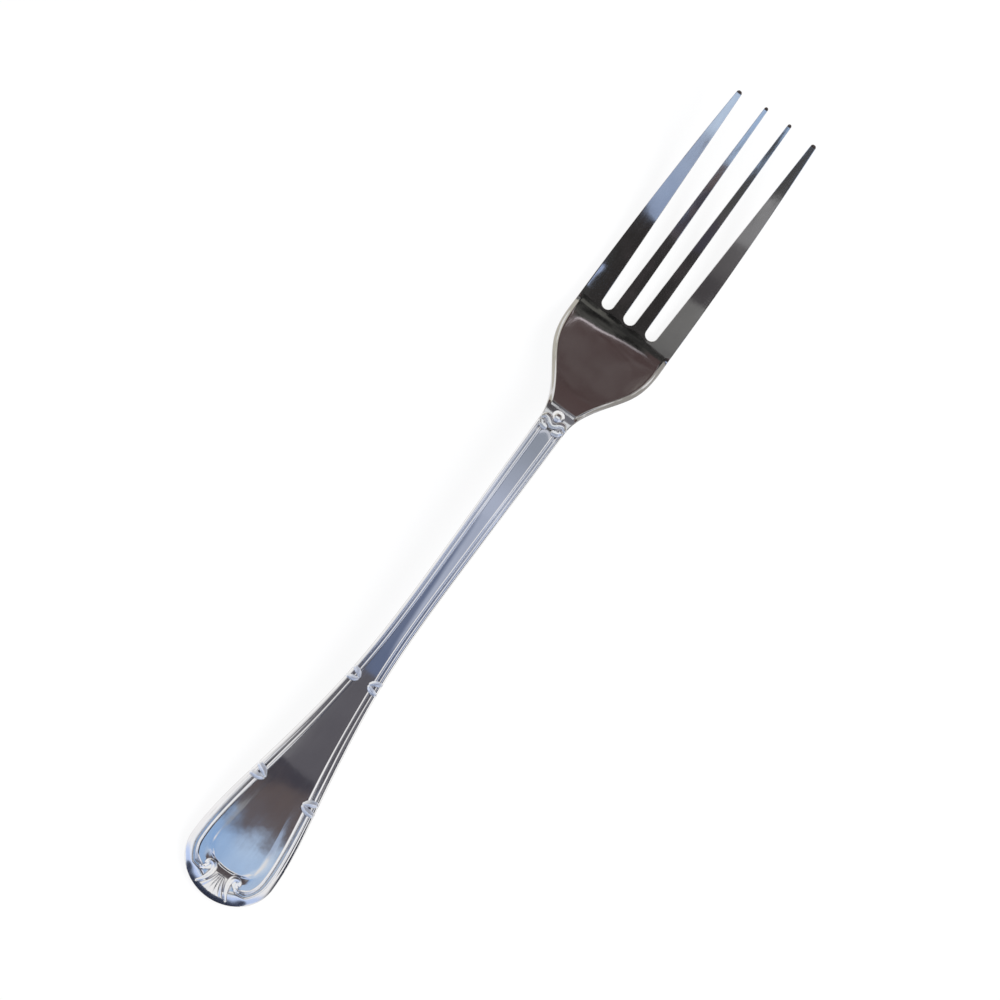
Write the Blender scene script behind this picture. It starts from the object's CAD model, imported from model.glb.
# Visual model of a dinner fork of polished steel, with its studio and camera.
# Lengths of the fork are in millimetres: stations along it from the end of the handle, sides across it with
# the left positive, and heights over the table. A mesh is made in metres in the frame of the part.
# The studio and the camera are in metres.

import math

import bpy
import numpy as np
from mathutils import Matrix, Vector


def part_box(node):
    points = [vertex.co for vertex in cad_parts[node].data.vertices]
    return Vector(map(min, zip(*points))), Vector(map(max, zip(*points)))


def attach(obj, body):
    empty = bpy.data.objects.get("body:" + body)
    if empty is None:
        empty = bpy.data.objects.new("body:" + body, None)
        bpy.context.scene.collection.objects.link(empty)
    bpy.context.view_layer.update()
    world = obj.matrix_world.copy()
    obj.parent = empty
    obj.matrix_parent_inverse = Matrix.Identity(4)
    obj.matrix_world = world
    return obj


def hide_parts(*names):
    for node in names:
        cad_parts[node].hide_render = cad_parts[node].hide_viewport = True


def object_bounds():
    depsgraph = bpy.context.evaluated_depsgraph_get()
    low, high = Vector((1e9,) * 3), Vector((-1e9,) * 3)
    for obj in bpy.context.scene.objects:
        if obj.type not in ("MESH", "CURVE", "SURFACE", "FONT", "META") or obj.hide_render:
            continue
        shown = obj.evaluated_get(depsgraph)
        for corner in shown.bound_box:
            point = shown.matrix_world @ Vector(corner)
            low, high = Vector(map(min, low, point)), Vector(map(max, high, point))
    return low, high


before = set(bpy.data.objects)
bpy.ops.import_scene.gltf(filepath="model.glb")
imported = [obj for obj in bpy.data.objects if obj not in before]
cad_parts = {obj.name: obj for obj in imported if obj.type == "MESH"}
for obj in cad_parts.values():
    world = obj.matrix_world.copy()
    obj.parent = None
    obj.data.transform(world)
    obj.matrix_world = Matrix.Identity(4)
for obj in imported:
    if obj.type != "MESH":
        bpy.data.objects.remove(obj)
cad_low, cad_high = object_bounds()
mm = 0.001
tiny = 1e-20


def station_of(node, end):
    # Station of the low (0) or high (1) end of a node of the part
    return (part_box(node)[end][0] - cad_low[0]) / mm


# Stations taken from the part
overall_length = (cad_high[0] - cad_low[0]) / mm
upper_tie = station_of("handle_paddle", 1)
neck_start = station_of("stem", 1)
neck_end = station_of("neck", 1)
tine_start = station_of("bowl", 1)
outer_tip = station_of("tine_outer_left", 1)

# Stations of the shape
end_round = 9.5
lower_tie = upper_tie / 2
waist = upper_tie + 31.0
crest = upper_tie + 59.0
knot = neck_start + 3.5
knot_end = knot + 3.0
shoulder = knot_end + 5.5
cheek = knot_end + 12.0
slot_root = tine_start - 2.5
foot = slot_root - 2.0
heel = slot_root + 4.8
bend = slot_root + 27.4

# Half widths in plan
paddle_half = 10.55
lower_tie_half = 8.2
upper_tie_half = 3.85
stem_half = 2.95
neck_half = 3.25
shoulder_half = 6.5
cheek_half = 10.65
head_half = 11.9
tip_half = 10.3

# Slots and tips
slot_radius = 1.375
outer_slot_side = 5.7
middle_gap_at_tip = 2.6
inner_edge_at_tip = 3.5
outer_edge_at_tip = 9.1
inner_tip_round = 0.4
outer_tip_round = 0.5
tip_fall = 0.35
tip_fall_length = 0.6
root_centre = slot_root + slot_radius

# Side view, thickness, dish across the head and rounding of the edges, as pairs of station and value
mid_heights = (
    (0, 0.75),
    (lower_tie, 5.85),
    (upper_tie, 9.0),
    (waist, 11.2),
    (crest, 12.0),
    (knot_end, 11.1),
    (cheek, 6.1),
    (foot, 1.7),
    (heel, 0.9),
    (bend, 4.5),
    (overall_length, 15.3),
)
thickness_along = ((0, 2.2), (waist, 3.2), (knot, 3.2), (cheek, 2.1), (heel, 2.1), (overall_length, 1.3))
dish_along = ((0, -0.35), (knot, -0.35), (cheek, 1.4), (heel, 1.4), (overall_length, 0.5))
dish_half = head_half + 2.0
edge_round_along = ((0, 0.3), (knot, 0.3), (cheek, 0.12), (overall_length, 0.08))

# Border of the handle: inner side of the outer thread and of the whole border, from the edge
outer_thread_along = ((1.5, 3.3), (3.6, 2.0), (14, 1.75), (40, 1.45), (upper_tie, 1.15), (waist, 1.05))
border_along = ((1.5, 3.9), (5.5, 3.1), (14, 2.85), (30, 2.75), (upper_tie, 2.15), (waist, 2.0))
thread_margin = 0.1
thread_gap = 0.12
thread_end = knot - 0.6
thread_bed = 0.1
bed_run_out = 2.0

# Section of the threads: height, flanks, crest as a share of the width, and fine partings along them
thread_height_along = ((10, 0.34), (upper_tie, 0.2), (waist, 0.14))
flank_power_along = ((10, 1.7), (upper_tie, 2.2), (waist, 2.6))
outer_sink_along = ((4, 0.42), (9, 0.18), (12, 0.18), (18, 0.34), (upper_tie, 0.3), (waist, 0.2))
inner_sink = 0.08
outer_crest_along = ((4, 0.75), (40, 0.6))
inner_crest = 0.5
outer_parting_along = ((10, 0), (16, 0.09), (lower_tie, 0.09), (lower_tie + 8, 0), (waist, 0), (crest, 0.12))
inner_parting_along = ((3, 0.12), (9, 0.1), (12, 0), (waist, 0), (crest, 0.1))
outer_parting_place = 0.42
inner_parting_place = 0.5
parting_width = 0.09

# Raised field of the paddle and the gap between it and the scrolls
shell_foot = 5.55
scroll_station = 6.1
scroll_side = 3.4
scroll_clearance = 1.45
field_start = 7.05
field_bow = 0.05
field_height = 0.13
field_slope = 0.4
field_flare = 1.2
field_side_slope = 4.0
field_fade = 8.0
field_end = 36.0
gap_width = 1.6
gap_depth = 0.13
gap_half = 3.5
gap_side_slope = 3.0

# Hollow channel of the stem, raised shield of the bowl and bevel around the head
channel_depth = 0.06
channel_least_half = 0.5
channel_run_in = 12.0
channel_run_out = 4.0
shield_height = 0.1
shield_rim = 0.7
shield_slope = 0.5
shield_start = knot_end + 0.6
shield_end = slot_root - 1.0
shield_run_out = 8.0
chamfer_depth = 0.5
chamfer_width = 1.0
chamfer_fade = 2.5


# Curves and distances


def blend(pairs, station):
    # Eases from one given value to the next along the fork
    value = np.full(np.shape(station), float(pairs[0][1]))
    for (start, first), (end, last) in zip(pairs, pairs[1:]):
        share = np.clip((station - start) / (end - start), 0, 1)
        value = value + (last - first) * share * share * (3 - 2 * share)
    return value


def ease(share):
    # Rises smoothly from 0 to 1
    share = np.clip(share, 0, 1)
    return share**3 * (10 - 15 * share + 6 * share * share)


def spline(knots, start_slope=None, end_slope=None):
    # A smooth curve through the knots, as a function. Ends without a slope run out straight.
    x, y = np.array(knots, float).T
    gap = np.diff(x)
    rise = np.diff(y) / gap
    count = len(x)
    system = np.zeros((count, count))
    target = np.zeros(count)
    for i in range(1, count - 1):
        system[i, i - 1 : i + 2] = (gap[i], 2 * (gap[i - 1] + gap[i]), gap[i - 1])
        target[i] = 3 * (gap[i] * rise[i - 1] + gap[i - 1] * rise[i])
    for row, inner, slope, end_rise in ((0, 1, start_slope, rise[0]), (-1, -2, end_slope, rise[-1])):
        system[row, row] = 1 if slope is not None else 2
        system[row, inner] = 0 if slope is not None else 1
        target[row] = slope if slope is not None else 3 * end_rise
    slopes = np.linalg.solve(system, target)

    def value(at):
        i = np.clip(np.searchsorted(x, at) - 1, 0, count - 2)
        u = (at - x[i]) / gap[i]
        start = y[i] + u * gap[i] * slopes[i]
        bend_two = 3 * rise[i] - 2 * slopes[i] - slopes[i + 1]
        bend_three = slopes[i] + slopes[i + 1] - 2 * rise[i]
        return start + gap[i] * u * u * (bend_two + u * bend_three)

    return value


def nearest(points, starts, ends):
    # For each point the distance to the nearest line, and the number of that line plus the share along it
    along = ends - starts
    offset = points[:, None, :] - starts[None, :, :]
    length_squared = np.maximum((along**2).sum(axis=1), tiny)
    share = np.clip((offset * along).sum(axis=2) / length_squared, 0, 1)
    apart = np.linalg.norm(offset - share[:, :, None] * along, axis=2)
    best = apart.argmin(axis=1)
    rows = np.arange(len(points))
    return apart[rows, best], best + share[rows, best]


mid_line = spline(mid_heights)
handle_side = spline(
    (
        (end_round, paddle_half),
        (lower_tie, lower_tie_half),
        (upper_tie, upper_tie_half),
        (waist, stem_half),
        (knot, neck_half),
    ),
    0,
    0,
)
cheek_side = spline(
    ((knot, neck_half), (shoulder, shoulder_half), (cheek, cheek_half), (slot_root, head_half)),
    0,
    0,
)
tip_slope = 2 * (tip_half - head_half) / (overall_length - slot_root)
tine_side = spline(((slot_root, head_half), (outer_tip, tip_half)), 0, tip_slope)


def half_width(station):
    # Half of the width in plan: rounded end, handle, cheeks and then the sides of the tines
    rounded = paddle_half * np.sqrt(np.clip(1 - (1 - station / end_round) ** 2, 0, 1))
    parts = (rounded, handle_side(station), cheek_side(station))
    return np.select((station < end_round, station < knot, station < slot_root), parts, tine_side(station))


def middle_height(station, side):
    # Height of the middle of the steel
    return mid_line(station) + blend(dish_along, station) * (side / dish_half) ** 2


def top_height(station, side):
    # Height of the upper face, away from the rounded edges
    return middle_height(station, side) + blend(thickness_along, station) / 2


# Body of the fork: rows along it, each with an outer and an inner strip on the right and the same on the left


def strip_edges(station, outer):
    # Low and high side of a left strip, which is a share of the width before the slots and a tine after them
    before_centre = np.clip(root_centre - station, 0, slot_radius)
    slot_half = np.sqrt(slot_radius**2 - before_centre**2)
    spread = np.clip((station - root_centre) / (overall_length - root_centre), 0, 1)
    width = half_width(station)
    whole = station <= slot_root
    split = width * outer_slot_side / head_half
    if outer:
        slot_side = outer_slot_side + slot_half + spread * (outer_edge_at_tip - outer_slot_side - slot_radius)
        low = np.where(whole, split, slot_side)
        high = width
        tip = outer_tip
        tip_round = outer_tip_round
    else:
        slot_side = outer_slot_side - slot_half + spread * (inner_edge_at_tip - outer_slot_side + slot_radius)
        gap_side = slot_half + spread * (middle_gap_at_tip - slot_radius)
        low = np.where(whole, 0, gap_side)
        high = np.where(whole, split, slot_side)
        tip = overall_length
        tip_round = inner_tip_round
    into_round = np.clip(station - tip + tip_round, 0, tip_round)
    inset = tip_round - np.sqrt(tip_round**2 - into_round**2)
    return low + inset, high - inset


def toward(start, end, count):
    # Stations that crowd at the end
    return start + (end - start) * np.sin(np.linspace(0, math.pi / 2, count))[1:]


def away(start, end, count):
    # Stations that crowd at the start
    return start + (end - start) * (1 - np.cos(np.linspace(0, math.pi / 2, count)))[1:]


def even(start, end, step):
    # Stations about a step apart
    return np.linspace(start, end, round((end - start) / step) + 1)[1:]


# Rows along the fork, close together where the shape turns quickly
shell_rows = 26
scroll_step = 0.16
paddle_step = 0.7
stem_step = 0.9
neck_step = 0.4
head_step = 0.3
root_rows = 12
tine_step = 0.7
tip_rows = 14
tip_zone = 1.4
shared_stations = np.concatenate(
    (
        [0],
        away(0, shell_foot, shell_rows),
        even(shell_foot, end_round, scroll_step),
        even(end_round, upper_tie, paddle_step),
        even(upper_tie, neck_start, stem_step),
        even(neck_start, neck_end, neck_step),
        even(neck_end, foot, head_step),
        toward(foot, slot_root, root_rows),
        away(slot_root, root_centre, root_rows),
        even(root_centre, tine_start, head_step),
    )
)
# The outer tines are a little shorter and have as many rows as the inner ones
tine_rows = round((outer_tip - tip_zone - tine_start) / tine_step)
strip_stations = []
for tip in (overall_length, outer_tip):
    straight = np.linspace(tine_start, tip - tip_zone, tine_rows)[1:]
    strip_stations.append(np.concatenate((shared_stations, straight, toward(tip - tip_zone, tip, tip_rows))))
row_count = len(strip_stations[0])


def row_at(place):
    # Number of the row at a station before the tines
    return int(np.argmin(abs(shared_stations - place)))


root_row = row_at(slot_root)

# Places across a strip: crowded within the rounded edge, then even
first_edge_step = 0.005
edge_columns = 6
widest_edge = 0.4
inner_steps = 22
edge_turn = np.linspace(0, math.pi / 2, edge_columns)[1:]
edge_steps = np.concatenate(([0, first_edge_step], 1 - np.cos(edge_turn)))
column_count = 2 * (len(edge_steps) - 1) + inner_steps + 1

# Strips from right to left
all_strips = (0, 1, 2, 3)


def strip_columns(low, high, rounding):
    # Sides of the columns of a strip, row by row
    width = (high - low)[:, None]
    edge = np.minimum(rounding[:, None], widest_edge * width) * edge_steps[None, :]
    first = low[:, None] + edge
    last = (high[:, None] - edge)[:, ::-1]
    share = np.linspace(0, 1, inner_steps + 1)[None, 1:-1]
    between = first[:, -1:] + share * (last[:, :1] - first[:, -1:])
    return np.concatenate((first, between, last), axis=1)


# Fineness of the outline, the largest distance from it that matters, and points measured at a time
outline_fineness = 3
edge_reach = 5.0
chunk_size = 600


def left_outline():
    # The left half of the plan outline as a chain of points, from the end of the handle to the middle slot
    chains = []
    fine_rows = np.linspace(0, row_count - 1, outline_fineness * row_count)
    for outer in (1, 0):
        fine = np.interp(fine_rows, np.arange(row_count), strip_stations[outer])
        if not outer:
            fine = fine[fine >= slot_root]
        low, high = strip_edges(fine, outer)
        in_slots = fine >= slot_root
        chains.append(np.stack((fine, high), axis=1))
        chains.append(np.stack((fine, low), axis=1)[in_slots][::-1])
    return np.concatenate(chains)


def edge_distance(station, side):
    # Distance of points in plan from the outline, up to the reach. Points are taken in chunks along the fork.
    outline = left_outline()
    starts = outline[:-1]
    ends = outline[1:]
    line_low = np.minimum(starts[:, 0], ends[:, 0])
    line_high = np.maximum(starts[:, 0], ends[:, 0])
    points = np.stack((station.ravel(), abs(side).ravel()), axis=1)
    order = np.argsort(points[:, 0], kind="stable")
    result = np.full(len(points), edge_reach)
    for chunk in np.array_split(order, max(1, len(order) // chunk_size)):
        low = points[chunk, 0].min() - edge_reach
        high = points[chunk, 0].max() + edge_reach
        near = (line_low <= high) & (line_high >= low)
        apart, _ = nearest(points[chunk], starts[near], ends[near])
        result[chunk] = np.minimum(apart, edge_reach)
    return result.reshape(station.shape)


def body_arrays():
    # Station, side and distance from the edge of each place, as rows x strips x columns from right to left
    station = np.zeros((row_count, len(all_strips), column_count))
    side = np.zeros_like(station)
    for outer in (0, 1):
        stations = strip_stations[outer]
        low, high = strip_edges(stations, outer)
        station[:, 2 + outer, :] = stations[:, None]
        side[:, 2 + outer, :] = strip_columns(low, high, blend(edge_round_along, stations))
    station[:, 1::-1, :] = station[:, 2:, :]
    side[:, 1::-1, :] = -side[:, 2:, ::-1]
    depth = edge_distance(station[:, 2:], side[:, 2:])
    depth = np.concatenate((depth[:, ::-1, ::-1], depth), axis=1)
    return station, side, depth


def rounded_half(station, depth):
    # Half of the thickness, which falls off to the rounded edge
    radius = blend(edge_round_along, station)
    into_edge = radius - np.minimum(depth, radius)
    return blend(thickness_along, station) / 2 - radius + np.sqrt(radius**2 - into_edge**2)


def paddle_rise(station, side, depth):
    # Raised field, and the gap before it
    past_scrolls = np.hypot(station - scroll_station, abs(side) - scroll_side) - scroll_clearance
    past_gap = station - field_start - field_bow * side**2
    slope = field_slope + field_flare * np.clip(abs(side) - gap_half, 0, None)
    field = ease(np.minimum(past_scrolls, past_gap) / slope)
    field *= ease((depth - blend(border_along, station)) / field_side_slope)
    field *= 1 - ease((station - field_fade) / (field_end - field_fade))
    gap = np.clip(past_gap / gap_width + 1, 0, 1) * (1 - ease(past_gap / field_slope))
    gap *= 1 - ease((abs(side) - gap_half) / gap_side_slope)
    return field_height * field - gap_depth * gap


def border_sink(station, depth):
    # Lower steel under the outer threads, which cover it
    sink = blend(outer_sink_along, station) + thread_bed
    sink *= 1 - ease(depth / blend(outer_thread_along, station))
    return sink * ease((knot - station) / bed_run_out)


def channel_sink(station, side):
    # Hollow between the borders of the stem
    channel_half = half_width(station) - blend(border_along, station)
    channel = np.clip(1 - (side / np.maximum(channel_half, channel_least_half)) ** 2, 0, 1)
    channel *= ease((station - upper_tie) / channel_run_in) * ease((knot - station) / channel_run_out)
    return channel_depth * channel


def head_rise(station, depth):
    # Raised shield, and the bevel around the head
    shield = ease((depth - shield_rim) / shield_slope) * ease((station - shield_start) / shield_slope)
    shield *= ease((shield_end - station) / shield_run_out)
    chamfer = np.clip(1 - depth / chamfer_width, 0, 1)
    chamfer *= ease((slot_root - station) / chamfer_fade) * ease((station - knot_end) / chamfer_fade)
    return shield_height * shield - chamfer_depth * chamfer


def tip_sink(station):
    # Rounding of the tips from above
    tips = np.array((outer_tip, overall_length, overall_length, outer_tip))[None, :, None]
    return tip_fall * (1 - ease((tips - station) / tip_fall_length))


stations, sides, depths = body_arrays()
on_edge = np.zeros(stations.shape, bool)
on_edge[:, 0, 0] = True
on_edge[:, -1, -1] = True
on_edge[root_row:, :, 0] = True
on_edge[root_row:, :, -1] = True
on_edge[0] = True
on_edge[-1] = True
depths[on_edge] = 0
half_thickness = rounded_half(stations, depths)
half_thickness[on_edge] = 0

middle = middle_height(stations, sides)
top = middle + half_thickness + paddle_rise(stations, sides, depths) + head_rise(stations, depths)
top -= border_sink(stations, depths) + channel_sink(stations, sides) + tip_sink(stations)
top[on_edge] = middle[on_edge]
bottom = np.maximum(middle - half_thickness, 0)

# Numbers of the vertices, with shared ones along edges, between strips and at the end of the handle
place_count = stations.size
top_number = np.arange(place_count).reshape(stations.shape)
bottom_number = top_number + place_count
bottom_number[on_edge] = top_number[on_edge]
for numbers in (top_number, bottom_number):
    for strip in all_strips[1:]:
        numbers[: root_row + 1, strip, 0] = numbers[: root_row + 1, strip - 1, -1]
    numbers[0] = top_number[0, 0, 0]
x_places = stations * mm + cad_low[0]
places = np.concatenate(
    (
        np.stack((x_places, sides * mm, top * mm), axis=-1).reshape(-1, 3),
        np.stack((x_places, sides * mm, bottom * mm), axis=-1).reshape(-1, 3),
    )
)


def add_face(faces, corners, order):
    # Adds a face without repeated corners, turned over where the order is -1
    corners = list(dict.fromkeys(int(corner) for corner in corners))
    if len(corners) > 2:
        faces.append(corners[::order])


def strip_faces(rows, strips):
    # Upper and lower faces between a first and a last row of the given strips
    faces = []
    for i in range(*rows):
        for k in strips:
            for j in range(column_count - 1):
                for numbers, order in ((top_number, 1), (bottom_number, -1)):
                    near = numbers[i, k, j : j + 2]
                    far = numbers[i + 1, k, j : j + 2]
                    add_face(faces, (near[0], far[0], far[1], near[1]), order)
    return faces


def cut_faces(row, strips, order):
    # Faces across the steel at a row, facing the tips (1) or the handle (-1)
    faces = []
    for k in strips:
        for j in range(column_count - 1):
            lower = bottom_number[row, k, j : j + 2]
            upper = top_number[row, k, j : j + 2]
            add_face(faces, (lower[0], lower[1], upper[1], upper[0]), order)
    return faces


def face_normals(faces):
    # Area-weighted normals of triangles and quads
    corners = np.array([face if len(face) == 4 else face + face[-1:] for face in faces])
    first, second, third, fourth = (places[corners[:, i]] for i in range(4))
    return np.cross(third - first, fourth - second)


whole_surface = strip_faces((0, row_count - 1), all_strips)
smooth_normals = np.zeros_like(places)
for face, normal in zip(whole_surface, face_normals(whole_surface)):
    smooth_normals[face] += normal
smooth_normals /= np.maximum(np.linalg.norm(smooth_normals, axis=1), tiny)[:, None]


def finish_piece(name, mesh, material):
    # Puts a mesh in the scene as the visual piece for the node of the same name
    for polygon in mesh.polygons:
        polygon.use_smooth = True
    piece = bpy.data.objects.new("visual_" + name, mesh)
    bpy.context.scene.collection.objects.link(piece)
    mesh.materials.append(material)
    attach(piece, "root")
    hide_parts(name)


def body_piece(name, rows, strips, material):
    # One region of the body, closed where it was cut and shaded as part of the whole
    surface = strip_faces(rows, strips)
    cuts = []
    if rows[0] > 0:
        cuts += cut_faces(rows[0], strips, -1)
    if rows[1] < row_count - 1:
        cuts += cut_faces(rows[1], strips, 1)
    used, renumbered = np.unique(np.concatenate(surface + cuts), return_inverse=True)
    faces = []
    start = 0
    for face in surface + cuts:
        faces.append([int(number) for number in renumbered[start : start + len(face)]])
        start += len(face)
    mesh = bpy.data.meshes.new("visual_" + name)
    mesh.from_pydata(places[used].tolist(), [], faces)
    finish_piece(name, mesh, material)
    corner_normals = [smooth_normals[number] for face in surface for number in face]
    for face, normal in zip(cuts, face_normals(cuts)):
        corner_normals += [normal / max(np.linalg.norm(normal), tiny)] * len(face)
    mesh.normals_split_custom_set([tuple(normal) for normal in corner_normals])


# Ornament: threads swept along the border, and ridges that rise from the steel

# Points around the end of the handle, step along its sides, and points across a thread
end_points = 80
thread_step = 0.5
thread_points = 33
crease_angle = math.radians(50)


def edge_line(start_angle, end_station):
    # Points along the left edge of the handle and the directions inwards
    angle = np.radians(np.linspace(start_angle, 90, end_points))
    around = np.stack((end_round * (1 - np.cos(angle)), paddle_half * np.sin(angle)), axis=1)
    straight = even(end_round, end_station, thread_step)
    along = np.stack((straight, half_width(straight)), axis=1)
    points = np.concatenate((around, along))
    tangent = np.gradient(points, axis=0)
    tangent /= np.linalg.norm(tangent, axis=1)[:, None]
    return points, np.stack((tangent[:, 1], -tangent[:, 0]), axis=1)


def thread_rings(start_angle, low_along, high_along, sink_along, crest_along, parting_along, parting_place):
    # Rings of points around a rounded thread between two insets from the edge
    points, inwards = edge_line(start_angle, thread_end)
    at_station = points[:, :1]
    share = np.linspace(0, 1, thread_points)
    low = blend(low_along, at_station)
    high = blend(high_along, at_station)
    inset = low + (high - low) * share
    at = points[:, None, :] + inset[:, :, None] * inwards[:, None, :]
    crest_share = blend(crest_along, at_station)
    power = blend(flank_power_along, at_station)
    height = blend(thread_height_along, at_station)
    outer_flank = np.clip((crest_share - share) / crest_share, 0, 1) ** power
    inner_flank = np.clip((share - crest_share) / (1 - crest_share), 0, 1) ** power
    parting = np.exp(-(((share - parting_place) / parting_width) ** 2))
    rise = height - (height + blend(sink_along, at_station)) * outer_flank
    rise -= (height + inner_sink) * inner_flank
    rise -= blend(parting_along, at_station) * parting
    upper = np.concatenate((at, (top_height(at[..., 0], at[..., 1]) + rise)[..., None]), axis=2)
    lower = upper[:, [-1, 0]].copy()
    lower[..., 2] = middle_height(lower[..., 0], lower[..., 1])
    return np.concatenate((upper, lower), axis=1)


def sided_mesh(name, vertices, faces, sign):
    # A mesh for the left (1), or with its sides and faces turned over for the right (-1)
    vertices = vertices * np.array((1, sign, 1)) * mm + np.array((cad_low[0], 0, 0))
    mesh = bpy.data.meshes.new("visual_" + name)
    mesh.from_pydata(vertices.tolist(), [], [face[::sign] for face in faces])
    mesh.set_sharp_from_angle(angle=crease_angle)
    return mesh


def thread_piece(name, rings, sign, material):
    # A closed bar through the rings
    ring_count, size, _ = rings.shape
    faces = []
    for i in range(ring_count - 1):
        for j in range(size):
            k = (j + 1) % size
            faces.append([i * size + j, i * size + k, (i + 1) * size + k, (i + 1) * size + j])
    faces.append(list(range(size))[::-1])
    faces.append(list(range((ring_count - 1) * size, ring_count * size)))
    mesh = sided_mesh(name, rings.reshape(-1, 3), faces, sign)
    finish_piece(name, mesh, material)


# Relief: points along a ridge, fineness of a patch, its depth under the steel and the slope of its sides,
# and how ridges fall from crest to side
path_points = 60
relief_step = 0.06
relief_reach = 1.1
relief_sink = 0.12
relief_bevel = 4.0
roof_fall = 0.14
roof_power = 1.3
tie_fall = 0.28
bead_fall = 0.55
bead_power = 2.0


def smooth_path(stops):
    # A smooth chain through stops of (station, side, half width, height)
    stops = np.array(stops, float)
    length = np.concatenate(([0], np.cumsum(np.linalg.norm(np.diff(stops[:, :2], axis=0), axis=1))))
    at = np.linspace(0, length[-1], path_points)
    columns = [spline(np.stack((length, stops[:, i]), axis=1))(at) for i in range(4)]
    return np.stack(columns, axis=1)


def ridge_relief(ridges, fall=roof_fall, power=roof_power):
    # The rise of ridges along the given paths as a function of the place, and the box around them.
    # A ridge falls gently from its crest and ends in a steep bevel.
    paths = [smooth_path(stops) for stops in ridges]
    everything = np.concatenate(paths)
    reach = everything[:, 2:3] * relief_reach + relief_step
    low = (everything[:, :2] - reach).min(axis=0)
    high = (everything[:, :2] + reach).max(axis=0)

    def rise_at(points):
        rise = np.full(len(points), -relief_sink)
        for path in paths:
            apart, along = nearest(points, path[:-1, :2], path[1:, :2])
            half = np.interp(along, np.arange(len(path)), path[:, 2])
            height = np.interp(along, np.arange(len(path)), path[:, 3])
            roof = height - fall * (apart / half) ** power
            rise = np.maximum(rise, np.minimum(roof, relief_bevel * (half - apart) - relief_sink))
        return rise

    return rise_at, low, high


def relief_piece(name, relief, sign, material):
    # A closed patch over the steel that rises as the relief says
    rise_at, low, high = relief
    along = np.arange(low[0], high[0] + relief_step, relief_step)
    across = np.arange(low[1], high[1] + relief_step, relief_step)
    grid = np.stack(np.meshgrid(along, across, indexing="ij"), axis=-1)
    rise = rise_at(grid.reshape(-1, 2)).reshape(grid.shape[:2])
    raised = rise > -relief_sink
    keep = raised[:-1, :-1] | raised[1:, :-1] | raised[:-1, 1:] | raised[1:, 1:]
    # Cells that touch only at a corner get a third one beside them
    here, next_row, next_side, opposite = keep[:-1, :-1], keep[1:, :-1], keep[:-1, 1:], keep[1:, 1:]
    next_row |= here & opposite & ~next_side
    here |= next_row & next_side & ~opposite
    upper = np.concatenate((grid, (top_height(grid[..., 0], grid[..., 1]) + rise)[..., None]), axis=2)
    lower = np.concatenate((grid, middle_height(grid[..., 0], grid[..., 1])[..., None]), axis=2)
    count = rise.size
    width = len(across)
    faces = []
    # Edges of one cell only, which are the outline of the patch
    edges = {}
    for i, j in zip(*np.nonzero(keep)):
        start = int(i * width + j)
        a, b, c, d = start, start + width, start + width + 1, start + 1
        faces.append([a, b, c, d])
        faces.append([d + count, c + count, b + count, a + count])
        for first, last in ((a, b), (b, c), (c, d), (d, a)):
            if (last, first) in edges:
                del edges[(last, first)]
            else:
                edges[(first, last)] = True
    faces += [[last, first, first + count, last + count] for first, last in edges]
    vertices = np.concatenate((upper.reshape(-1, 3), lower.reshape(-1, 3)))
    used, renumbered = np.unique(np.array(faces), return_inverse=True)
    mesh = sided_mesh(name, vertices[used], renumbered.reshape(-1, 4).tolist(), sign)
    finish_piece(name, mesh, material)


# Ribbons: a petal as stops of (distance along, inset, half width, height), and the size and lift of each tie
tie_petal = ((0.3, 2.9, 0.6, 0.14), (0.7, 2.3, 0.8, 0.2), (0.98, 1.5, 0.88, 0.22), (1.15, 0.8, 0.75, 0.14))
lower_tie_scale = 1.0
lower_tie_lift = 0.36
upper_tie_scale = 0.8
upper_tie_lift = 0.26
slope_step = 0.05


def inset_point(at_station, inset):
    # A point at an inset from the left edge of the handle
    slope = (half_width(at_station + slope_step) - half_width(at_station - slope_step)) / (2 * slope_step)
    length = math.hypot(1, slope)
    return at_station + inset * slope / length, half_width(at_station) - inset / length


def tie_relief(at_station, scale, lift):
    # Ribbon tied over the border: two petals that meet inside it and leave a notch between them
    ridges = []
    for turn in (1, -1):
        stops = []
        for along, inset, half, height in tie_petal:
            point = inset_point(at_station + turn * along, inset * scale)
            stops.append((*point, half * scale, height + lift))
        ridges.append(stops)
    return ridge_relief(ridges, tie_fall)


# Materials


def new_material(name):
    material = bpy.data.materials.new(name)
    material.use_nodes = True
    return material, material.node_tree


def noise(tree, scale, detail):
    # A cloudy pattern with its own fineness along the fork, across it and up
    coordinates = tree.nodes.new("ShaderNodeTexCoord")
    mapping = tree.nodes.new("ShaderNodeMapping")
    mapping.inputs["Scale"].default_value = scale
    texture = tree.nodes.new("ShaderNodeTexNoise")
    texture.inputs["Scale"].default_value = 1.0
    texture.inputs["Detail"].default_value = detail
    tree.links.new(coordinates.outputs["Object"], mapping.inputs["Vector"])
    tree.links.new(mapping.outputs["Vector"], texture.inputs["Vector"])
    return texture.outputs["Fac"]


def span(tree, value, from_range, to_range=(0, 1), smooth=False):
    # Turns one range of values into another
    change = tree.nodes.new("ShaderNodeMapRange")
    change.interpolation_type = "SMOOTHSTEP" if smooth else "LINEAR"
    for which, limits in (("From", from_range), ("To", to_range)):
        change.inputs[which + " Min"].default_value = limits[0]
        change.inputs[which + " Max"].default_value = limits[1]
    tree.links.new(value, change.inputs["Value"])
    return change.outputs["Result"]


def calculate(tree, operation, first, second, clamp=False):
    result = tree.nodes.new("ShaderNodeMath")
    result.operation = operation
    result.use_clamp = clamp
    tree.links.new(first, result.inputs[0])
    tree.links.new(second, result.inputs[1])
    return result.outputs["Value"]


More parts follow.
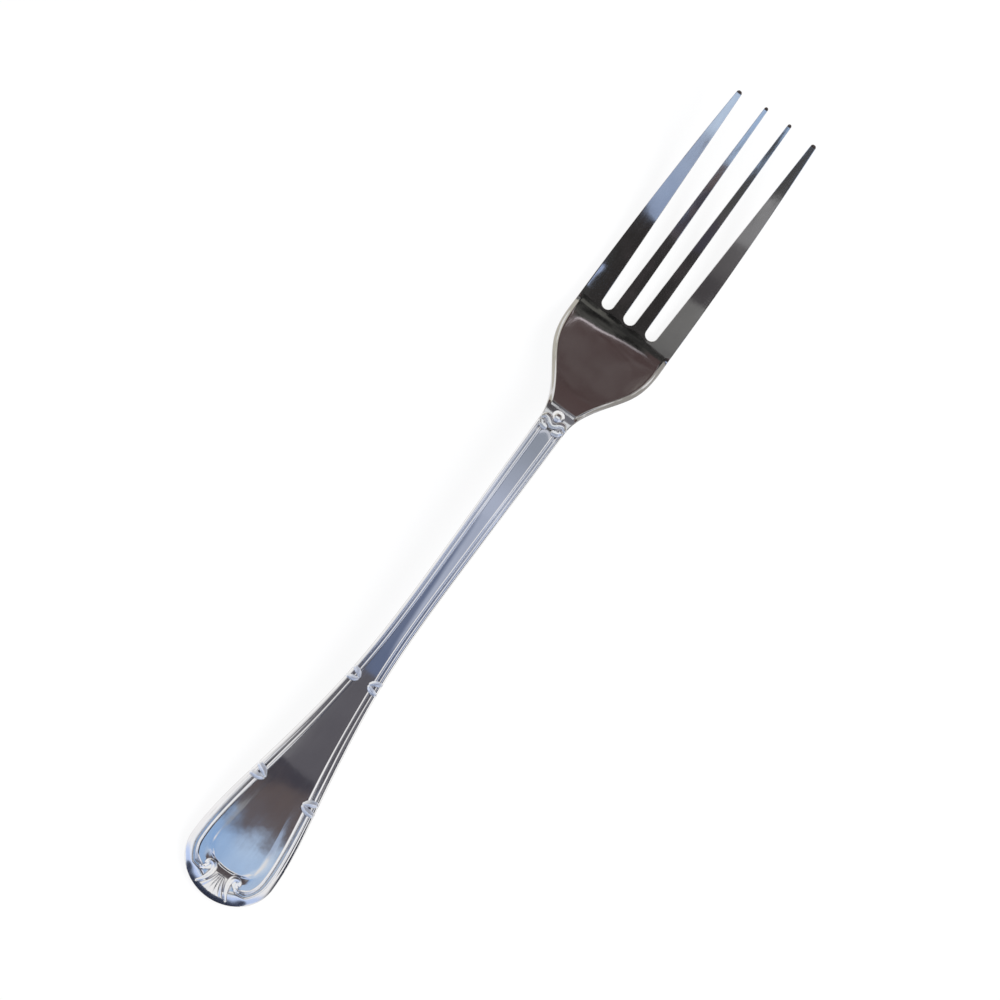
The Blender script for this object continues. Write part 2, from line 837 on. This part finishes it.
def mix(tree, first, second, factor):
    # Mixes two colours, each given as numbers or as a socket
    colours = tree.nodes.new("ShaderNodeMix")
    colours.data_type = "RGBA"
    for socket, colour in (("A", first), ("B", second)):
        if isinstance(colour, tuple):
            colours.inputs[socket].default_value = (*colour, 1)
        else:
            tree.links.new(colour, colours.inputs[socket])
    tree.links.new(factor, colours.inputs["Factor"])
    return colours.outputs["Result"]


# Steel: patterns as fineness per metre and levels of detail, the part of each that shows, and tarnish
line_pattern = ((25, 4200, 25), 2)
cloud_pattern = ((90, 140, 90), 3)
hair_pattern = ((120, 9000, 120), 1)
wave_pattern = ((160, 220, 160), 0)
ripple_pattern = ((520, 800, 520), 1)
waves_to_ripples = 12
colour_range = (0.35, 0.7)
dull_range = (0.3, 0.7)
dull_share = 0.5
hair_range = (0.6, 0.8)
hair_share = 0.6
tarnish = (0.3, 0.3, 0.34)
groove_reach = 0.5 * mm
groove_samples = 8
groove_range = (0.4, 0.85)


def steel(name, colour, dull_colour, roughness, dull_roughness, line_depth, wave_depth):
    # Mirror polish with fine lines along the fork, clouding, hair scratches, and tarnish left in the grooves
    material, tree = new_material(name)
    shader = tree.nodes["Principled BSDF"]
    shader.inputs["Metallic"].default_value = 1.0
    lines = noise(tree, *line_pattern)
    clouds = noise(tree, *cloud_pattern)
    hairs = noise(tree, *hair_pattern)

    clouded = mix(tree, colour, dull_colour, span(tree, clouds, colour_range))
    grooves = tree.nodes.new("ShaderNodeAmbientOcclusion")
    grooves.samples = groove_samples
    grooves.inputs["Distance"].default_value = groove_reach
    tarnished = mix(tree, tarnish, clouded, span(tree, grooves.outputs["AO"], groove_range))
    tree.links.new(tarnished, shader.inputs["Base Color"])

    dull_lines = span(tree, lines, dull_range, (0, dull_share))
    dull_clouds = span(tree, clouds, dull_range, (0, dull_share))
    dull_hairs = span(tree, hairs, hair_range, (0, hair_share))
    dulled = calculate(tree, "MAXIMUM", calculate(tree, "ADD", dull_lines, dull_clouds), dull_hairs)
    tree.links.new(span(tree, dulled, (0, 1), (roughness, dull_roughness)), shader.inputs["Roughness"])

    # Broad waves of the polish, small ripples on them, and the fine lines
    surface = None
    for pattern, height in (
        (noise(tree, *wave_pattern), wave_depth),
        (noise(tree, *ripple_pattern), wave_depth / waves_to_ripples),
        (lines, line_depth),
    ):
        bump = tree.nodes.new("ShaderNodeBump")
        bump.inputs["Strength"].default_value = 1.0
        bump.inputs["Distance"].default_value = height
        tree.links.new(pattern, bump.inputs["Height"])
        if surface:
            tree.links.new(surface, bump.inputs["Normal"])
        surface = bump.outputs["Normal"]
    tree.links.new(surface, shader.inputs["Normal"])
    return material


polished = steel(
    "polished_steel",
    colour=(0.76, 0.75, 0.74),
    dull_colour=(0.7, 0.685, 0.675),
    roughness=0.05,
    dull_roughness=0.12,
    line_depth=0.0015 * mm,
    wave_depth=0.05 * mm,
)
ornament = steel(
    "ornament_steel",
    colour=(0.9, 0.89, 0.88),
    dull_colour=(0.83, 0.82, 0.81),
    roughness=0.12,
    dull_roughness=0.2,
    line_depth=0.0003 * mm,
    wave_depth=0.02 * mm,
)
ribbon = steel(
    "ribbon_steel",
    colour=(0.95, 0.95, 0.94),
    dull_colour=(0.88, 0.87, 0.86),
    roughness=0.36,
    dull_roughness=0.46,
    line_depth=0.0003 * mm,
    wave_depth=0.02 * mm,
)

# Pieces of the body
body_piece("handle_paddle", (0, row_at(upper_tie)), all_strips, polished)
body_piece("stem", (row_at(upper_tie), row_at(neck_start)), all_strips, polished)
body_piece("neck", (row_at(neck_start), row_at(neck_end)), all_strips, polished)
body_piece("bowl", (row_at(neck_end), row_at(tine_start)), all_strips, polished)
for strip, name in enumerate(("tine_outer_right", "tine_inner_right", "tine_inner_left", "tine_outer_left")):
    body_piece(name, (row_at(tine_start), row_count - 1), (strip,), polished)

# Threads of the border, which start at an angle around the end of the handle
outer_start_angle = 0
inner_start_angle = 40
outer_rings = thread_rings(
    start_angle=outer_start_angle,
    low_along=((0, thread_margin),),
    high_along=outer_thread_along,
    sink_along=outer_sink_along,
    crest_along=outer_crest_along,
    parting_along=outer_parting_along,
    parting_place=outer_parting_place,
)
inner_rings = thread_rings(
    start_angle=inner_start_angle,
    low_along=[(place, inset + thread_gap) for place, inset in outer_thread_along],
    high_along=border_along,
    sink_along=((0, inner_sink),),
    crest_along=((0, inner_crest),),
    parting_along=inner_parting_along,
    parting_place=inner_parting_place,
)

# Scrolls, as stops of (station, side, half width, height)
scroll_band = (
    (4.75, 4.8, 0.45, 0.3),
    (4.9, 4.25, 0.55, 0.32),
    (5.3, 3.8, 0.75, 0.36),
    (scroll_station, scroll_side, 1.3, 0.42),
)
scroll_ridge = (
    (1.75, 3.75, 0.35, 0.42),
    (2.9, 2.95, 0.5, 0.48),
    (4.3, 2.35, 0.62, 0.52),
    (5.6, 2.2, 0.68, 0.54),
    (6.6, 2.6, 0.7, 0.54),
    (6.9, 3.35, 0.6, 0.52),
    (6.65, 4.1, 0.5, 0.48),
    (6.0, 4.35, 0.4, 0.46),
)
scroll_hook = ((4.3, 4.6, 0.3, 0.3), (4.6, 4.15, 0.38, 0.36), (5.0, 4.3, 0.3, 0.4))
scroll_relief = ridge_relief((scroll_band, scroll_ridge, scroll_hook))

# Shell, and the box around it
shell_foot_half = 0.95
shell_spread = 0.25
shell_flare = 0.08
shell_margin = 1.2
shell_height = 0.36
flute_count = 5
flute_depth = 0.24
shell_low = (1.0, -3.6)
shell_high = (5.8, 3.6)


def shell_rise(points):
    # Flutes that fan out from the foot and end at a margin from the edge of the handle
    along, across = points.T
    from_foot = shell_foot - along
    fan_half = shell_foot_half + shell_spread * from_foot + shell_flare * from_foot**2
    flute = across / fan_half * flute_count / 2
    flute = 1 - abs(2 * (flute - np.round(flute))) ** roof_power
    from_edge = end_round * (1 - np.hypot(1 - along / end_round, across / paddle_half)) - shell_margin
    inside = np.minimum(np.minimum(from_foot, from_edge), fan_half - abs(across))
    return np.maximum(np.minimum(shell_height + flute_depth * flute, relief_bevel * inside), -relief_sink)


# Ribbon and bead at the neck, as stops of (distance along from the knot, side, half width, height)
neck_bow = ((0.5, 2.75, 0.5, 0.3), (1.05, 2.15, 0.75, 0.42), (0.75, 1.2, 0.75, 0.46), (0.0, 0.35, 0.75, 0.48))
right_bow = [(along, -across, *rest) for along, across, *rest in reversed(neck_bow)]
neck_lobe = ((-1.15, 1.25, 0.75, 0.4), (-1.0, 1.8, 0.8, 0.42), (-0.45, 2.3, 0.7, 0.36))
bead_stops = [(2.15, across, 1.35, 0.6) for across in (-0.1, 0, 0.1)]
neck_ridges = [[(knot + along, *rest) for along, *rest in (*neck_bow, *right_bow)]]
for turn in (1, -1):
    neck_ridges.append([(knot + along, turn * across, *rest) for along, across, *rest in neck_lobe])
bead_ridges = [[(knot + along, *rest) for along, *rest in bead_stops]]

# Pieces of the ornament
lower_tie_relief = tie_relief(lower_tie, lower_tie_scale, lower_tie_lift)
upper_tie_relief = tie_relief(upper_tie, upper_tie_scale, upper_tie_lift)
for suffix, sign in (("_left", 1), ("_right", -1)):
    thread_piece("outer_thread" + suffix, outer_rings, sign, ornament)
    thread_piece("inner_thread" + suffix, inner_rings, sign, ornament)
    relief_piece("lower_ribbon" + suffix, lower_tie_relief, sign, ribbon)
    relief_piece("upper_ribbon" + suffix, upper_tie_relief, sign, ribbon)
    relief_piece("scroll" + suffix, scroll_relief, sign, ornament)
relief_piece("neck_ribbon", ridge_relief(neck_ridges), 1, ornament)
relief_piece("neck_bead", ridge_relief(bead_ridges, bead_fall, bead_power), 1, ornament)
relief_piece("shell", (shell_rise, shell_low, shell_high), 1, ornament)


# Studio: a pale floor, a pale world, and coloured cards overhead that only the polish shows

card_clouds = ((24, 24, 24), 2)
card_cloud_range = (0.3, 0.7)
lengthwise = (1, 0, 0)
crosswise = (0, 1, 0)


def grey(value):
    return (value, value, value)


def glow(name, first, second, direction, reach, clouding):
    # Light that goes from one colour to another along a direction, with some clouding
    material, tree = new_material(name)
    coordinates = tree.nodes.new("ShaderNodeTexCoord")
    place = tree.nodes.new("ShaderNodeVectorMath")
    place.operation = "DOT_PRODUCT"
    place.inputs[1].default_value = direction
    tree.links.new(coordinates.outputs["Object"], place.inputs[0])
    along = span(tree, place.outputs["Value"], reach, smooth=True)
    shift = span(tree, noise(tree, *card_clouds), card_cloud_range, (-clouding, clouding))
    share = calculate(tree, "ADD", along, shift, clamp=True)
    emission = tree.nodes.new("ShaderNodeEmission")
    tree.links.new(mix(tree, first, second, share), emission.inputs["Color"])
    tree.links.new(emission.outputs["Emission"], tree.nodes["Material Output"].inputs["Surface"])
    return material


def stage_sheet(name, corners, faces, material):
    # A flat mesh that isn't part of the fork
    mesh = bpy.data.meshes.new(name)
    mesh.from_pydata(corners, [], faces)
    mesh.materials.append(material)
    sheet = bpy.data.objects.new(name, mesh)
    bpy.context.scene.collection.objects.link(sheet)
    return sheet


def panel(name, near_edge, far_edge, height, material):
    # A flat panel over the fork between two edges, seen only in reflections
    count = len(near_edge)
    corners = [(x, y, height) for x, y in (*near_edge, *far_edge)]
    faces = [(i, i + 1, i + 1 + count, i + count) for i in range(count - 1)]
    sheet = stage_sheet(name, corners, faces, material)
    sheet.visible_camera = False
    sheet.visible_diffuse = False
    sheet.visible_shadow = False


def card(name, x_range, y_range, height, first, second=None, direction=lengthwise, reach=None, clouding=0.3):
    # A panel between two places along the fork and two across it, of one colour where no second is given
    near_edge, far_edge = ([(x, y) for y in y_range] for x in x_range)
    material = glow(name, first, second or first, direction, reach or x_range, clouding)
    panel(name, near_edge, far_edge, height, material)


# Heights of the cards
top_level = 0.365
high_level = 0.36
middle_level = 0.355
patch_level = 0.35
tip_level = 0.15
low_level = 0.06
shade_level = 0.0595
end_level = 0.059
neck_level = 0.03
shell_level = 0.012

# Places along and across the fork where cards meet
blue_edge = -0.226
lens_edge = -0.13
paddle_edge = -0.085
tip_edge = -0.07
stem_edge = -0.053
bend_edge = -0.003
stem_end = 0.0235
knot_edge = 0.0238
neck_edge = 0.0323
line_start = 0.0376
line_end = 0.0382
neck_card_end = 0.0518
grey_start = 0.18
brown_edge = 0.28
brown_end = 0.8
tip_side = 0.011
inner_side = 0.036
outer_side = 0.11
neck_sides = (-0.009, 0.009)
shade_sides = (-0.022, 0.03)
slant = (0.47, 1, 0)
shade_blue = (0.5, 0.56, 0.72)
brown = (0.09, 0.06, 0.06)

# High up: dark over the fork, browner towards the end of the handle, and blue beyond that
card(
    "card_dark", (blue_edge, brown_edge), (-0.1, 0.12), high_level,
    (0.105, 0.09, 0.097), (0.032, 0.03, 0.03), lengthwise, (-0.2, -0.03),
)
card(
    "card_field", (blue_edge, paddle_edge), (-inner_side, inner_side), middle_level,
    (0.135, 0.108, 0.108), (0.06, 0.057, 0.075), lengthwise, (-0.45, 0.12), 0.9,
)
card(
    "card_blue", (-0.33, blue_edge), (-0.06, 0.07), high_level,
    (0.66, 0.8, 1.0), (0.3, 0.5, 0.85), crosswise, (-0.05, 0.03),
)

# Low over the paddle and the stem, with a slanting blue shade under the pale card
card(
    "card_paddle", (paddle_edge, stem_edge), (-0.15, 0.09), low_level,
    (0.125, 0.121, 0.142), (0.66, 0.66, 0.67), crosswise, (0, 0.03), 0.1,
)
card(
    "card_stem", (stem_edge, 0.026), (-0.1, 0.1), low_level,
    (0.68, 0.74, 0.9), grey(0.85), crosswise, (-0.02, 0.03), 0.1,
)
card(
    "card_stem_shade", (stem_edge, stem_end), shade_sides, shade_level,
    (0.14, 0.18, 0.3), shade_blue, slant, (-0.02, -0.006), 0.1,
)
card(
    "card_stem_end", (-0.005, stem_end), shade_sides, end_level,
    shade_blue, (0.33, 0.37, 0.45), lengthwise, (-0.004, 0.018), 0.1,
)

# Close over the shell, the knot and the neck
card("card_shell", (-0.1095, -0.0992), (-0.0033, 0.0033), shell_level, (0.92, 0.94, 0.97), grey(0.95))
card("card_knot", (knot_edge, neck_edge), neck_sides, neck_level, (0.85, 0.88, 0.92))
card(
    "card_neck", (neck_edge, line_start), neck_sides, neck_level,
    (0.2, 0.2, 0.23), (0.07, 0.065, 0.07), crosswise, (-0.002, 0.003),
)
card("card_neck_line", (line_start, line_end), neck_sides, neck_level, (0.3, 0.28, 0.28))
card("card_brown_low", (line_end, neck_card_end), neck_sides, neck_level, (0.1, 0.07, 0.07), brown)

# For the left tines, which face to the right, and then for the right tines, which face to the left
card(
    "card_blue_left", (blue_edge, paddle_edge), (-0.12, -inner_side), middle_level,
    (0.42, 0.52, 0.72), (0.33, 0.42, 0.62),
)
card("card_left_root", (paddle_edge, grey_start), (-0.25, -0.095), middle_level, grey(0.03), grey(0.05))
card("card_left_patch", (0.042, 0.12), (-0.25, -0.105), patch_level, (0.4, 0.5, 0.75), (0.45, 0.55, 0.8))
card("card_right_root", (bend_edge, 0.2), (0.05, 0.25), patch_level, grey(0.2), grey(0.15))
card(
    "card_right_bend", (lens_edge, bend_edge), (inner_side, outer_side), middle_level,
    (0.13, 0.125, 0.13), (0.07, 0.065, 0.07),
)
card(
    "card_right_lens", (-0.225, lens_edge), (inner_side, outer_side), middle_level,
    (0.32, 0.32, 0.33), (0.26, 0.26, 0.27),
)
card("card_right_tip", (tip_edge, -0.034), (tip_side, 0.04), tip_level, grey(0.06), grey(0.08))
card("card_inner_tip", (tip_edge, -0.015), (0.0, tip_side), tip_level, grey(0.06), grey(0.08))

# For the head: brown, pale around that, and a faint line across
card(
    "card_brown", (brown_edge, brown_end), (-0.15, 0.15), high_level,
    (0.08, 0.053, 0.053), (0.128, 0.103, 0.103), lengthwise, (0.2, 0.9), 0.5,
)
card(
    "card_edges", (0.05, brown_end), (-0.4, 0.4), top_level,
    (0.36, 0.35, 0.33), (0.58, 0.56, 0.5), crosswise, (-0.3, 0.3),
)
card(
    "card_line", (0.215, 0.25), (-0.16, 0.16), patch_level,
    (0.12, 0.12, 0.11), grey(0.025), crosswise, (-0.07, 0.02),
)

# A pale streak across the head, which bends back towards its left edge, and the dark before it
streak_stops = ((0.53, -0.13), (0.475, -0.118), (0.435, -0.09), (0.4, -0.04), (0.36, 0.016), (0.335, 0.075))
streak_width = 0.02
streak_points = 40
streak_x = spline([(y, x) for x, y in streak_stops])
streak_y = np.linspace(streak_stops[0][1], streak_stops[-1][1], streak_points)
streak_line = [(float(streak_x(y)), float(y)) for y in streak_y]
panel(
    "card_streak",
    [(x - streak_width / 2, y) for x, y in streak_line],
    [(x + streak_width / 2, y) for x, y in streak_line],
    patch_level,
    glow("card_streak", (0.75, 0.68, 0.72), (0.3, 0.28, 0.3), crosswise, (-0.08, 0.09), 0.1),
)
panel(
    "card_grey",
    [(grey_start, y) for x, y in streak_line],
    streak_line,
    middle_level,
    glow("card_grey", grey(0.008), (0.07, 0.07, 0.066), lengthwise, (grey_start, 0.45), 0.6),
)

floor_half = 3.0
floor_level = -0.05 * mm
floor_lightness = 0.9
floor_roughness = 0.8
floor_glow = 0.86


def make_floor():
    # Pale, and nearly white where it is seen, reflected or looked through
    material, tree = new_material("floor")
    shader = tree.nodes["Principled BSDF"]
    shader.inputs["Base Color"].default_value = (*grey(floor_lightness), 1)
    shader.inputs["Roughness"].default_value = floor_roughness
    shader.inputs["Specular IOR Level"].default_value = 0.0
    rays = tree.nodes.new("ShaderNodeLightPath").outputs
    seen = calculate(tree, "MAXIMUM", rays["Is Camera Ray"], rays["Is Glossy Ray"])
    seen = calculate(tree, "MAXIMUM", seen, rays["Is Transmission Ray"])
    white = tree.nodes.new("ShaderNodeEmission")
    white.inputs["Strength"].default_value = 1.0
    both = tree.nodes.new("ShaderNodeMixShader")
    tree.links.new(span(tree, seen, (0, 1), (0, floor_glow)), both.inputs["Fac"])
    tree.links.new(shader.outputs["BSDF"], both.inputs[1])
    tree.links.new(white.outputs["Emission"], both.inputs[2])
    tree.links.new(both.outputs["Shader"], tree.nodes["Material Output"].inputs["Surface"])
    turns = ((-1, -1), (1, -1), (1, 1), (-1, 1))
    corners = [(x * floor_half, y * floor_half, floor_level) for x, y in turns]
    stage_sheet("floor", corners, [(0, 1, 2, 3)], material)


# Colours of the world, and the directions between which it changes
world_pale = (0.95, 0.95, 0.97)
world_blue = (0.55, 0.68, 1.0)
world_dark = (0.02, 0.025, 0.05)
blue_fade = (-0.68, -0.5)
dark_end_fade = (-0.86, -0.74)
dark_right_fade = (-0.91, -0.74)


def make_world():
    # Pale all round, blue and then dark low down past the end of the handle, and dark low down to the right
    world = bpy.data.worlds.new("studio")
    world.use_nodes = True
    tree = world.node_tree
    coordinates = tree.nodes.new("ShaderNodeTexCoord")
    direction = tree.nodes.new("ShaderNodeSeparateXYZ")
    tree.links.new(coordinates.outputs["Generated"], direction.inputs["Vector"])
    along = direction.outputs["X"]
    across = direction.outputs["Y"]
    end_light = span(tree, along, dark_end_fade, smooth=True)
    right_light = span(tree, across, dark_right_fade, smooth=True)
    colour = mix(tree, world_blue, world_pale, span(tree, along, blue_fade, smooth=True))
    sky = mix(tree, world_dark, colour, calculate(tree, "MINIMUM", end_light, right_light))
    tree.links.new(sky, tree.nodes["Background"].inputs["Color"])
    bpy.context.scene.world = world


lamp_size = 0.45
lamp_energy = 4.5
lamp_place = Vector((0.12, -0.45, 0.7))


def make_lamp():
    # A round lamp that points at the middle of the fork
    data = bpy.data.lights.new("key", "AREA")
    data.shape = "DISK"
    data.size = lamp_size
    data.energy = lamp_energy
    lamp = bpy.data.objects.new("key", data)
    lamp.location = lamp_place
    lamp.rotation_euler = lamp_place.to_track_quat("Z", "Y").to_euler()
    lamp.visible_glossy = False
    bpy.context.scene.collection.objects.link(lamp)


make_floor()
make_world()
make_lamp()

# Camera: straight down, turned so that the fork points up and to the right as in the photograph
axis_right = 0.5918
axis_up = 0.8061
image_width = 211.8 * mm
camera_height = 4.0
centre_x = 2.2 * mm
centre_y = -0.47 * mm
focus_level = 7 * mm
sensor_width = 36
camera_data = bpy.data.cameras.new("camera")
camera_data.sensor_width = sensor_width
camera_data.lens = sensor_width * (camera_height - focus_level) / image_width
camera = bpy.data.objects.new("camera", camera_data)
camera.matrix_world = Matrix(
    (
        (axis_right, axis_up, 0, centre_x),
        (-axis_up, axis_right, 0, centre_y),
        (0, 0, 1, camera_height),
        (0, 0, 0, 1),
    )
)
bpy.context.scene.collection.objects.link(camera)
bpy.context.scene.camera = camera
bpy.context.scene.view_settings.view_transform = "Standard"
